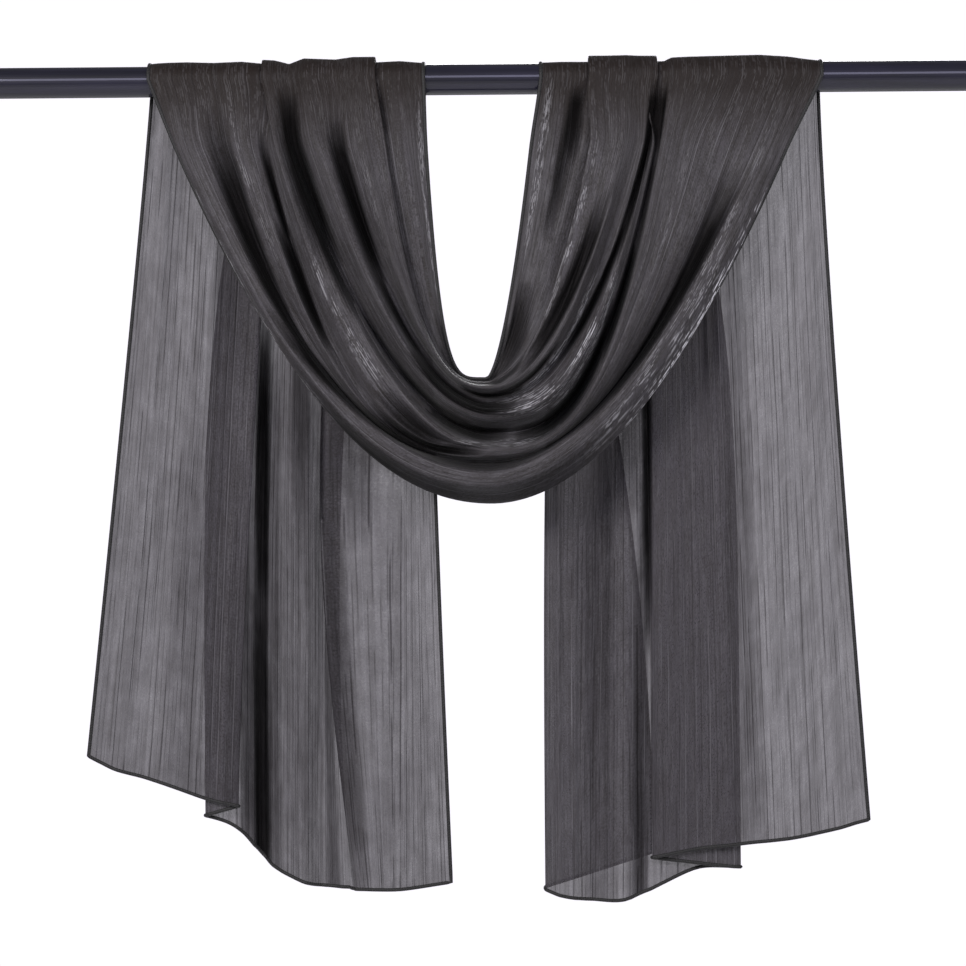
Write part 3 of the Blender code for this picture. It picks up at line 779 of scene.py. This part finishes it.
# The tails' hollows sink back like the swag's, and their colour is painted dark as shade.
LEFT_HOLLOWS = (
    # cut from, to   along from, to   width, depth
    ( 36,  48, -0.20, 1.50,  60.0,  0.5),
    (448, 448,  0.20, 1.50,  44.0,  0.6),
    ( 72,  84,  0.32, 1.30,  22.0,  1.3),
    ( 94,  98,  0.02, 1.10,  13.0,  1.6),
    (108, 108,  0.30, 0.54,   9.0,  2.2),
    (118, 122,  0.60, 1.20,   8.0,  2.2),
    (188, 194,  0.50, 1.20,  11.0,  3.2),
    (202, 210,  0.40, 0.80,   9.0,  8.0),  # the deep groove beside the folded half
    (206, 210,  0.62, 1.22,  11.0,  8.0),
    (224, 228,  0.42, 1.15,   9.0,  2.8),
    (262, 264,  0.30, 0.68,  16.0,  4.2),
    (270, 276,  0.20, 1.16,  46.0,  1.7),
    (338, 350,  0.56, 1.16,  24.0,  2.6),
    (404, 408,  0.44, 1.04,  10.0,  3.4),
    (416, 420,  0.38, 0.66,  12.0,  2.6),
    (438, 436,  0.36, 0.58,  14.0,  2.6),
)
RIGHT_HOLLOWS = (
    # cut from, to   along from, to   width, depth
    (104, 106,  0.20, 1.20,  14.0,  1.2),
    (132, 132,  0.16, 0.56,  14.0,  2.4),
    (212, 212,  0.34, 0.76,   4.0,  7.0),  # the deep groove in the middle
    (208, 208,  0.60, 1.30,   5.0,  1.0),
    (337, 339,  0.36, 0.76,   4.5,  8.0),
    (345, 346,  0.60, 1.30,   4.5,  4.0),
    (352, 353,  0.34, 0.62,  12.0,  3.2),
    (374, 374,  0.40, 0.96,   9.0,  2.6),
    (372, 372,  0.66, 1.30,   9.0,  1.2),
)
# The little that the tails' silver gleams everywhere, painted in as glints.
TAIL_GLEAMS = (
    # cut from, to   along from, to   width, strength
    (250, 250, -0.50, 1.50, 400.0, 0.03),
)


def progress(t, pace):
    """How much of its sideways way a fold has gone at the share t of its length."""
    return 1 - (1 - t) ** pace if pace >= 1 else t ** (1 / pace)


def tail_line(rail_row, tail_row, leaves, side, angles, shares):
    """One fold of a tail, from the rail's top down behind it to the hem."""
    rail_x, layer_in, layer_out = rail_row[2:5] if side < 0 else rail_row[5:8]
    _, x, z, pace, bow, y_in, y_out = tail_row
    layer, y = (layer_out, y_out) if leaves else (layer_in, y_in)
    hang = np.stack([
        rail_x + (x - rail_x) * progress(shares, pace) + bow * np.sin(np.pi * shares),
        radius(layer) + (y - radius(layer)) * progress(shares, DEPTH_PACE),
        z * shares,
    ], axis=1)
    return np.concatenate([wrap(rail_x, layer, 1, angles), hang])


def evened(values, points):
    """The values along a section, evened out by its distances; its two ends stay."""
    at = np.concatenate([[0], np.cumsum(np.linalg.norm(np.diff(points, axis=0), axis=1))])
    even = np.arange(0, at[-1], 1.0)
    reach = 3 * HEM_EVENING
    weight = np.exp(-0.5 * (np.arange(-reach, reach + 1) / HEM_EVENING) ** 2)
    line = np.pad(np.interp(even, at, values), reach, mode="reflect", reflect_type="odd")
    return np.interp(at, even, np.convolve(line, weight / weight.sum(), "valid"))


def tail_grid(table, side, creases, hollows):
    shares = np.linspace(0, 1, TAIL_STEPS + 1) ** SHARE_SPREAD
    lines = fold_points(list(zip(ON_RAIL, table)),
                        lambda row, leaves: tail_line(*row, leaves, side, angles, shares))
    hanging = RAIL_ROUNDING + (TAIL_ROUNDING - RAIL_ROUNDING) * fade(1 - shares / SOFTENING)
    grid = np.stack([rounded(section, soft)
                     for section, soft in zip(lines, [*on_rail, *hanging])])
    loose = np.concatenate([np.zeros(len(angles)), 1 - fade(shares / TAIL_FREED)])
    # The hem runs in one easy curve past the folds, so the threads' ends are evened out.
    for row, share in zip(grid, loose):
        row[:, 2] += (evened(row[:, 2], row[:, :2]) - row[:, 2]) * share
    return pressed(grid, creases, hollows, loose)


left_grid = tail_grid(LEFT_TAIL, -1, LEFT_CREASES, LEFT_HOLLOWS)
right_grid = tail_grid(RIGHT_TAIL, 1, RIGHT_CREASES, RIGHT_HOLLOWS)
# The left tail's threads run on from the swag's start, and the right tail's from the swag's end.
left_length = np.linalg.norm(np.diff(left_grid, axis=0), axis=2).sum(axis=0) / 1000
left_tail, _ = add_sheet("left_tail_cloth", left_grid, -left_length, TAIL_LAYERS,
                         TAIL_GATHER, LEFT_HOLLOWS, TAIL_GLEAMS)
right_tail, _ = add_sheet("right_tail_cloth", right_grid, swag_length, TAIL_LAYERS,
                          TAIL_GATHER, RIGHT_HOLLOWS, TAIL_GLEAMS)
for tail, node in ((left_tail, "left_tail"), (right_tail, "right_tail")):
    tail.data.materials.append(organza)
    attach(tail, "root")
    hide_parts(node)


# ---------------------------------------------------------------- Rolled hems
# A narrow rolled hem runs round all four sides of the scarf: the raw edge is turned over twice and
# held by fine oblique stitches in the same colour. Rolled up, the sheer cloth is nearly opaque, so
# the hem shows as a dark line.

HEM_RADIUS = 0.0015
HEM_FLATNESS = 0.7  # a roll is this much as thick as it is wide
HEM_SIDES = 8
STITCH_PITCH = 0.0022

# Rolled organza with overcast stitching: dark, close and slightly glossy along the roll.
rolled = bpy.data.materials.new("rolled_organza_hem")
rolled.use_nodes = True
tree = rolled.node_tree
hem = tree.nodes["Principled BSDF"]
threads = add_node(tree, "ShaderNodeUVMap", {"uv_map": "threads"})
stitch_way = add_node(tree, "ShaderNodeSeparateXYZ", Vector=threads)
turned = add_node(tree, "ShaderNodeMath", MULTIPLY, i0=stitch_way.outputs["X"], i1=2 * math.pi)
slant = add_node(tree, "ShaderNodeMath", MULTIPLY_ADD, i0=stitch_way.outputs["Y"],
                 i1=2 * math.pi / STITCH_PITCH, i2=turned)
wave = add_node(tree, "ShaderNodeMath", {"operation": "SINE"}, i0=slant)
stitches = add_node(tree, "ShaderNodeMapRange", SMOOTH, Value=wave, From_Min=-0.2, From_Max=0.9)
uneven = add_node(tree, "ShaderNodeMath", MULTIPLY, i0=stitches, i1=streaks((3, 60)))
hem_tone = add_node(tree, "ShaderNodeMix", COLOURS, i0=uneven, i6=(*linear("0e0d0e"), 1),
                    i7=(*linear("242224"), 1))
tree.links.new(hem_tone.outputs[2], hem.inputs["Base Color"])
hem_bump = add_node(tree, "ShaderNodeBump", Height=stitches, Strength=0.5, Distance=0.0003)
tree.links.new(hem_bump.outputs["Normal"], hem.inputs["Normal"])
hem.inputs["Roughness"].default_value = 0.6
hem.inputs["Sheen Weight"].default_value = 0.1


def add_hem(name, paths):
    """Rolled edges along the paths, which are lists of points in millimetres."""
    bm = bmesh.new()
    threads = bm.loops.layers.uv.new("threads")
    for path in paths:
        path = np.asarray(path) / 1000
        way = np.concatenate([[0], np.cumsum(np.linalg.norm(np.diff(path, axis=0), axis=1))])
        forward = np.gradient(path, axis=0)
        forward /= np.maximum(np.linalg.norm(forward, axis=1, keepdims=True), 1e-9)
        side = np.cross(forward, (0.0, 1.0, 0.0))
        side /= np.maximum(np.linalg.norm(side, axis=1, keepdims=True), 1e-9)
        up = np.cross(side, forward)
        made = bmesh.ops.create_grid(bm, x_segments=HEM_SIDES, y_segments=len(path) - 1, size=1)
        faces = {face for vertex in made["verts"] for face in vertex.link_faces}
        for face in faces:
            face.smooth = True
            for loop in face.loops:
                turn = (loop.vert.co.x + 1) / 2
                loop[threads].uv = (turn, way[round((loop.vert.co.y + 1) / 2 * (len(path) - 1))])
        for vertex in made["verts"]:
            turn = 2 * math.pi * (vertex.co.x + 1) / 2
            row = round((vertex.co.y + 1) / 2 * (len(path) - 1))
            vertex.co = path[row] + HEM_RADIUS * (math.cos(turn) * side[row]
                                                  + HEM_FLATNESS * math.sin(turn) * up[row])
    bmesh.ops.remove_doubles(bm, verts=bm.verts, dist=1e-6)
    bmesh.ops.holes_fill(bm, edges=[edge for edge in bm.edges if edge.is_boundary], sides=HEM_SIDES)
    bmesh.ops.recalc_face_normals(bm, faces=bm.faces)
    mesh = bpy.data.meshes.new(name)
    bm.to_mesh(mesh)
    bm.free()
    mesh.materials.append(rolled)
    piece = bpy.data.objects.new(name, mesh)
    bpy.context.scene.collection.objects.link(piece)
    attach(piece, "root")
    return piece


def round_edge(grid):
    """Down one selvedge of a tail, along its end and up the other."""
    return np.concatenate([grid[:, 0], grid[-1, 1:], grid[-2::-1, -1]])


swag_hem = add_hem("swag_hem", [swag_grid[:, 0], swag_grid[:, -1]])
left_hem = add_hem("left_tail_hem", [round_edge(left_grid)])
right_hem = add_hem("right_tail_hem", [round_edge(right_grid)])
